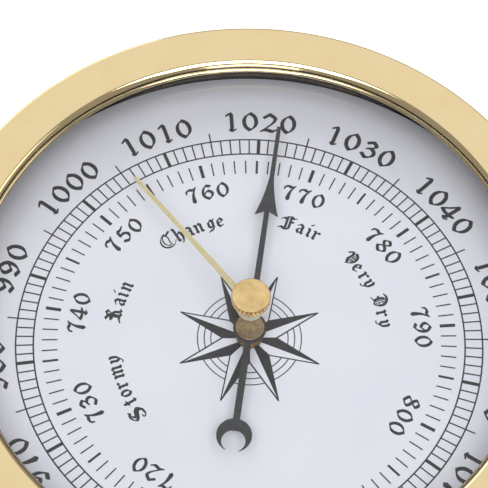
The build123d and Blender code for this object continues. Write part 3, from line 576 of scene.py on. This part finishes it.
LETTERS = {
    "C": [(0.75, 0.6, (-0.12, 0.98), (-0.42, 0.78), (-0.54, 0.46), (-0.44, 0.16), (-0.14, 0.0),
           (0.18, 0.04), (0.42, 0.26)),
          (HAIR, (-0.02, 1.02), (-0.26, 0.80), (-0.34, 0.50), (-0.26, 0.24), (-0.06, 0.12)),
          (BAR, (-0.10, 0.90), (0.10, 0.90), (0.34, 1.02)),
          (HAIR, (0.02, 0.86), (0.06, 0.60), (0.0, 0.34), (0.04, 0.12))],
    "h": [((-0.22, 1.02), (-0.14, 0.93)), ((-0.15, 0.95), (-0.14, 0.13)), ((-0.18, 0.12), (-0.07, 0.04)),
          ((-0.11, 0.46), (0.05, 0.62)), ((0.05, 0.63), (0.17, 0.52)),
          ((0.16, 0.53), (0.18, 0.25), (0.14, 0.04)), (HAIR, (0.14, 0.06), (0.08, -0.08), (-0.02, -0.14))],
    "a": [((-0.19, 0.56), (-0.08, 0.65), (0.03, 0.63)), ((0.02, 0.64), (0.14, 0.53)),
          ((0.12, 0.55), (0.11, 0.14)), ((0.08, 0.12), (0.20, 0.04)), (HAIR, (0.10, 0.45), (-0.14, 0.30)),
          ((-0.15, 0.30), (-0.16, 0.16), (-0.06, 0.05)), (HAIR, (-0.06, 0.04), (0.10, 0.17))],
    "n": [((-0.24, 0.60), (-0.14, 0.52)), ((-0.15, 0.55), (-0.14, 0.13)), ((-0.19, 0.12), (-0.08, 0.04)),
          (HAIR, (-0.12, 0.46), (0.06, 0.63)), ((0.05, 0.64), (0.17, 0.53)), ((0.16, 0.55), (0.16, 0.13)),
          ((0.13, 0.12), (0.25, 0.04))],
    "m": [((-0.40, 0.60), (-0.30, 0.52)), ((-0.31, 0.55), (-0.30, 0.13)), ((-0.35, 0.12), (-0.24, 0.04)),
          (HAIR, (-0.28, 0.46), (-0.10, 0.63)), ((-0.11, 0.64), (0.01, 0.53)), ((0.0, 0.55), (0.0, 0.13)),
          ((-0.05, 0.12), (0.07, 0.04)), (HAIR, (0.02, 0.46), (0.20, 0.63)), ((0.19, 0.64), (0.31, 0.53)),
          ((0.30, 0.55), (0.30, 0.13)), ((0.27, 0.12), (0.39, 0.04))],
    "g": [((-0.15, 0.50), (-0.15, 0.22)), ((-0.16, 0.22), (-0.02, 0.10)), (HAIR, (-0.15, 0.50), (0.0, 0.63)),
          ((-0.01, 0.64), (0.13, 0.54)), ((0.12, 0.56), (0.13, 0.06)), (HAIR, (0.10, 0.58), (0.26, 0.68)),
          (HAIR, (-0.02, 0.10), (0.12, 0.20)), ((0.12, 0.06), (0.02, -0.10)), ((0.06, -0.06), (-0.10, -0.10)),
          ((-0.08, -0.10), (-0.20, -0.15))],
    "e": [((-0.02, 0.64), (-0.16, 0.50), (-0.15, 0.20), (-0.02, 0.06)), ((-0.02, 0.64), (0.14, 0.47)),
          (HAIR, (0.14, 0.45), (-0.12, 0.30)), (HAIR, (-0.02, 0.05), (0.17, 0.16))],
    "i": [((-0.09, 0.60), (0.01, 0.52)), ((0.0, 0.55), (0.0, 0.13)), ((-0.03, 0.12), (0.09, 0.04)),
          (HAIR, 1.3, 1.0, (-0.02, 0.86), (0.11, 0.99))],
    "r": [((-0.18, 0.60), (-0.08, 0.52)), ((-0.09, 0.55), (-0.08, 0.13)), ((-0.13, 0.12), (-0.01, 0.04)),
          (HAIR, (-0.06, 0.46), (0.09, 0.60)), ((0.09, 0.60), (0.18, 0.53))],
    "t": [((0.0, 0.80), (0.01, 0.13)), ((-0.02, 0.12), (0.09, 0.04)), (HAIR, (0.09, 0.04), (0.17, 0.12)),
          ((-0.13, 0.57), (0.14, 0.61))],
    "o": [((-0.03, 0.63), (-0.16, 0.51), (-0.16, 0.18), (0.01, 0.05)),
          ((-0.03, 0.63), (0.15, 0.50), (0.15, 0.20), (0.01, 0.05))],
    "y": [((-0.22, 0.60), (-0.12, 0.52)), ((-0.13, 0.54), (-0.12, 0.20), (0.02, 0.08)),
          ((0.06, 0.66), (0.16, 0.56)), ((0.15, 0.58), (0.14, 0.22), (0.02, 0.04)),
          (HAIR, (0.03, 0.06), (-0.10, -0.12), (-0.26, -0.12))],
    "F": [((-0.12, 0.92), (-0.13, 0.12)), ((0.10, 0.90), (0.09, 0.14), (-0.04, 0.05)),
          ((-0.46, 0.72), (-0.32, 0.81), (-0.13, 0.74)), (HAIR, (-0.14, 0.93), (0.12, 0.97)),
          ((0.10, 0.98), (0.26, 0.85)), (HAIR, (0.26, 0.84), (0.44, 0.92)), ((0.10, 0.60), (0.30, 0.58)),
          ((-0.52, 0.07), (-0.38, 0.13), (-0.18, 0.03), (0.06, 0.06))],
    "R": [((-0.12, 0.88), (-0.10, 0.40), (-0.13, 0.14)), (HAIR, (0.0, 0.86), (0.02, 0.20)),
          (HAIR, (-0.14, 0.86), (0.08, 0.99)), ((0.06, 0.99), (0.24, 0.86)),
          (HAIR, (0.24, 0.86), (0.02, 0.60)),
          ((0.03, 0.60), (0.20, 0.44), (0.22, 0.22), (0.34, 0.06)), (HAIR, (0.34, 0.05), (0.44, 0.14)),
          ((-0.13, 0.84), (-0.34, 0.96)), (HAIR, (-0.12, 0.70), (-0.34, 0.66)),
          ((-0.36, 0.66), (-0.24, 0.56)), (HAIR, (-0.22, 0.56), (-0.11, 0.48)),
          ((-0.46, 0.04), (-0.26, 0.12), (-0.06, 0.12), (0.12, 0.04))],
    "S": [((0.30, 0.84), (0.10, 0.96), (-0.18, 0.90), (-0.32, 0.74), (-0.22, 0.58), (0.12, 0.40),
           (0.20, 0.24), (0.08, 0.08), (-0.14, 0.04)),
          ((0.04, 0.80), (-0.12, 0.74), (-0.02, 0.62), (0.26, 0.48), (0.36, 0.28), (0.22, 0.10),
           (0.06, 0.04)),
          (HAIR, (-0.14, 0.04), (-0.34, 0.12), (-0.34, 0.26), (-0.20, 0.26)),
          (HAIR, (0.30, 0.84), (0.38, 0.94))],
    "V": [((-0.40, 0.70), (-0.30, 0.88), (-0.16, 0.86), (-0.12, 0.66), (-0.16, 0.34), (-0.02, 0.10)),
          ((0.0, 0.96), (0.24, 0.82), (0.30, 0.52), (0.20, 0.24), (-0.02, 0.04)),
          (HAIR, (-0.14, 0.82), (0.0, 0.96)),
          (HAIR, 0.7, 0.7, (0.04, 0.84), (0.0, 0.24)), (HAIR, 0.7, 0.7, (0.14, 0.78), (0.12, 0.26)),
          (HAIR, 0.7, 0.7, (-0.10, 0.58), (0.24, 0.62)), (HAIR, 0.7, 0.7, (-0.10, 0.38), (0.22, 0.42))],
    "D": [((-0.38, 0.90), (-0.16, 0.96), (0.10, 0.88), (0.28, 0.66), (0.27, 0.34), (0.10, 0.08)),
          (HAIR, (0.12, 0.08), (-0.14, 0.14), (-0.40, 0.04)), ((-0.16, 0.78), (-0.19, 0.40), (-0.15, 0.16)),
          (HAIR, 0.7, 0.7, (-0.04, 0.86), (-0.05, 0.18)), (HAIR, 0.7, 0.7, (0.08, 0.82), (0.07, 0.18)),
          (HAIR, 0.7, 0.7, (0.08, 0.62), (0.24, 0.68)), (HAIR, 0.7, 0.7, (0.08, 0.38), (0.24, 0.44)),
          ((-0.34, 0.50), (-0.20, 0.42))],
}


pen_slant = 40                # degrees
bar_slant = -40               # the pen turned, for broad strokes across


def glyph(strokes, radius, degrees, height, wide, thin):
    """The patches of one drawn character, its foot at radius and its top facing out."""
    pens = {
        PEN: nib(wide, thin, pen_slant),
        BAR: nib(wide * 0.8, thin, bar_slant),
        HAIR: nib(thin, thin, pen_slant),
    }
    turn = radians(degrees)
    c, s = cos(turn), sin(turn)
    patches = []
    for line in strokes:
        kind, sizes = PEN, [1.0, 1.0]
        numbers = [v for v in line if isinstance(v, float)]
        if isinstance(line[0], str):
            kind = line[0]
        if numbers:
            sizes = numbers
        spots = [(v[0] * height, v[1] * height) for v in line if isinstance(v, tuple)]
        for patch in stroke(spots, pens[kind], *sizes):
            patches.append([(x * c + (radius + y) * s, (radius + y) * c - x * s) for x, y in patch])
    return patches


zero_pressure = 1019          # hPa at 12 o'clock
degrees_per_hpa = 2.5
hpa_per_mm = 1.33322          # of mercury
lowest, highest = 955, 1080


def dial_angle(hpa):
    return (hpa - zero_pressure) * degrees_per_hpa


def scale_marks():
    """Two rings with a mark for each hectopascal, and the inner scale in millimetres of mercury."""
    outer, inner = ring, ring * 0.9247
    line = 0.33
    patches = circle(outer, line) + circle(inner, line)
    for hpa in range(lowest, highest + 1):
        reach = ring * 1.045 if hpa % 10 == 5 else outer
        width = 0.74 if hpa % 10 == 0 else 0.3
        patches.append(mark(dial_angle(hpa), inner, reach, width))
    print_layer("scale_outer", [patches])
    patches = []
    for mm in range(716, 811):
        width = 0.72 if mm % 10 == 0 else 0.5 if mm % 5 == 0 else 0.29
        patches.append([mark(dial_angle(mm * hpa_per_mm), ring * 0.822, ring * 0.8885, width)])
    print_layer("scale_inner", patches)


def numbers(name, values, angle_of, radius, height, pitch, wide, thin):
    """The numbers of a scale, each centred on its mark."""
    groups = []
    for value in values:
        text = str(value)
        for i, digit in enumerate(text):
            turn = angle_of(value) + (i - (len(text) - 1) / 2) * pitch
            groups.append(glyph(DIGITS[digit], radius, turn, height, wide, thin))
    print_layer(name, groups)


# each letter with its clockwise angle from 12 o'clock
WORDS = [
    ("S", -127.55), ("t", -121.46), ("o", -116.95), ("r", -112.84), ("m", -106.56), ("y", -100.53),
    ("R", -79.57), ("a", -73.05), ("i", -69.45), ("n", -65.37),
    ("C", -36.65), ("h", -31.62), ("a", -26.95), ("n", -22.48), ("g", -16.88), ("e", -12.63),
    ("F", 16.91), ("a", 22.66), ("i", 26.60), ("r", 30.02),
    ("V", 48.76), ("e", 53.74), ("r", 58.54), ("y", 62.83), ("D", 72.20), ("r", 78.00), ("y", 82.90),
]


def weather_words():
    """Stormy, Rain, Change, Fair and Very Dry in a broad-pen black letter."""
    cap = ring * 0.07
    groups = [glyph(LETTERS[c], ring * 0.56, turn, cap, cap * 0.165, cap * 0.062) for c, turn in WORDS]
    print_layer("dial_words", groups)


def compass_star():
    """Eight points, each half filled, over three thin circles that show between them."""
    tip, notch, line = ring * 0.320, ring * 0.116, 0.23
    half = 22.5
    patches = []
    for k in range(8):
        middle = half + 45 * k
        point = on_dial(tip, middle)
        left, right = on_dial(notch, middle - half), on_dial(notch, middle + half)
        patches.append([(0.0, 0.0), point, left])
        for a, b in ((left, point), (point, right), (left, (0.0, 0.0))):
            patches += stroke([a, b], nib(line, line, 0))
    c, s = cos(radians(half)), sin(radians(half))
    across, along = notch * s, tip - notch * c
    slope = across / along
    for radius in (ring * 0.223, ring * 0.194, ring * 0.1657):
        t = 1 + slope**2
        b = -2 * tip * slope**2
        y = (-b + sqrt(b**2 - 4 * t * (tip**2 * slope**2 - radius**2))) / (2 * t)
        cover = atan2((tip - y) * slope, y) * 180 / pi
        for k in range(8):
            middle = half + 45 * k
            patches += circle(radius, line, middle + cover, middle + 45 - cover, 3)
    print_layer("dial_star", [patches])


bezel_shell()
crystal_glass()
knob_head()
scale_marks()
numbers("numbers_outer", range(970, 1071, 10), dial_angle, ring * 1.0434, ring * 0.105, 4.53,
        ring * 0.0168, ring * 0.0072)
numbers("numbers_inner", range(720, 801, 10), lambda mm: dial_angle(mm * hpa_per_mm), ring * 0.7063,
        ring * 0.081, 5.26, ring * 0.0130, ring * 0.0056)
weather_words()
compass_star()


# ---------------------------------------------------------------- studio

def add_floor():
    """A plain pale floor, which clips to white under the lights."""
    size = 1.5
    mesh = bpy.data.meshes.new("floor")
    corners = [(-size, -size, 0), (size, -size, 0), (size, size, 0), (-size, size, 0)]
    mesh.from_pydata(corners, [], [(0, 1, 2, 3)])
    floor = bpy.data.objects.new("floor", mesh)
    scene.collection.objects.link(floor)
    floor.location.z = -0.0003
    material = bpy.data.materials.new("floor")
    material.use_nodes = True
    shader = material.node_tree.nodes["Principled BSDF"]
    shader.inputs["Base Color"].default_value = (0.9, 0.9, 0.9, 1)
    shader.inputs["Roughness"].default_value = 0.9
    shader.inputs["Emission Color"].default_value = (1, 1, 1, 1)
    shader.inputs["Emission Strength"].default_value = 0.45
    mesh.materials.append(material)


def add_light(name, azimuth, elevation, distance, width, depth, radiance):
    """A soft box aimed at the dial. Azimuth runs clockwise from 12 o'clock."""
    data = bpy.data.lights.new(name, "AREA")
    data.shape = "RECTANGLE"
    data.size, data.size_y = width, depth
    data.energy = radiance * pi * width * depth
    light = bpy.data.objects.new(name, data)
    a, e = radians(azimuth), radians(elevation)
    away = Vector((sin(a) * cos(e), cos(a) * cos(e), sin(e)))
    light.location = Vector((0, 0, dial_top * MM)) + away * distance
    light.rotation_mode = "QUATERNION"
    light.rotation_quaternion = away.to_track_quat("Z", "Y")
    scene.collection.objects.link(light)


def add_world(level):
    world = bpy.data.worlds.new("studio")
    world.use_nodes = True
    back = world.node_tree.nodes["Background"]
    back.inputs["Color"].default_value = (level, level, level, 1)
    scene.world = world


def add_camera():
    """Where the object is seen from: 29 degrees off the dial's axis, from the 6 o'clock side."""
    data = bpy.data.cameras.new("camera")
    data.lens, data.sensor_width = 158.5, 36
    data.clip_start, data.clip_end = 0.01, 10
    camera = bpy.data.objects.new("camera", data)
    scene.collection.objects.link(camera)
    tilt, turn, away = radians(29.19), radians(-1.54), 9.435 * ring * MM
    target = Vector((-0.0234 * ring * MM, 0.4608 * ring * MM, dial_top * MM))
    back = Vector((sin(tilt) * sin(turn), -sin(tilt) * cos(turn), cos(tilt)))
    camera.location = target + back * away
    right = Vector((0, 1, 0)).cross(back).normalized()
    frame_axes = Matrix((right, back.cross(right), back)).transposed()
    camera.rotation_mode = "QUATERNION"
    camera.rotation_quaternion = frame_axes.to_quaternion()
    scene.camera = camera


add_floor()
add_world(0.36)
add_light("north", 0, 61, 1.2, 1.3, 0.95, 0.68)
add_light("northwest", -22, 33, 1.2, 0.5, 0.34, 2.6)
add_light("overhead", 180, 66, 1.3, 1.0, 0.8, 5.4)
add_light("low_front", 180, 12, 1.2, 0.6, 0.6, 3.0)
add_light("side", 85, 42, 1.2, 0.5, 0.5, 1.4)
add_camera()
scene.view_settings.view_transform = "Standard"
